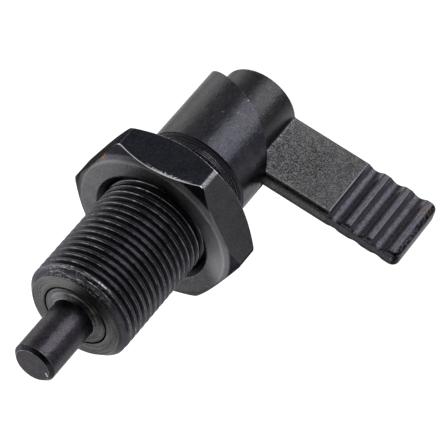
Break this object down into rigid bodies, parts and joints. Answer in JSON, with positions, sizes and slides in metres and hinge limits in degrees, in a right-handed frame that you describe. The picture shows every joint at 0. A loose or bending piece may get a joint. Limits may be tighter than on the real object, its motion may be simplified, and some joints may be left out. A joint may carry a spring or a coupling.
{
  "type": "indexing plunger with cam lever",
  "caption": "Spring-loaded locking pin in a threaded steel body with a lock nut; a cast lever rides a helical cam rim and draws the pin back.",
  "frame": {"origin": "on the plunger's axis, at the front face of the threaded body", "axes": "+Z along the axis, the way the pin points; +X along the lever's arm while the pin is out"},
  "size_m": [0.0546, 0.032, 0.0715],
  "materials": {
    "blackened_steel": "black oxide, satin",
    "pin_steel": "ground and blackened",
    "cast_steel": "blackened casting",
    "spring_steel": "bright drawn"
  },
  "bodies": {
    "body": {"guide_body": "blackened_steel", "guide_bush": "blackened_steel", "spring": "spring_steel"},
    "plunger": {"plunger_pin": "pin_steel"},
    "lever": {"lever": "cast_steel", "retaining_dowel": "pin_steel"},
    "nut": {"lock_nut": "blackened_steel"}
  },
  "joints": [
    {"name": "plunger_stroke", "type": "slide", "parent": "body", "child": "plunger", "axis": [0, 0, -1], "range_m": [0, 0.0144], "deforming": ["spring"]},
    {"name": "lever_turn", "type": "hinge", "parent": "plunger", "child": "lever", "pos_m": [0, 0, -0.05], "axis": [0, 0, 1], "range_deg": [0, 180]},
    {"name": "nut_travel", "type": "slide", "parent": "body", "child": "nut", "axis": [0, 0, 1], "range_m": [-0.0023, 0.022]}
  ],
  "couplings": [
    {"joint": "plunger_stroke", "follows": "lever_turn", "m_per_rad": 0.0045837}
  ]
}
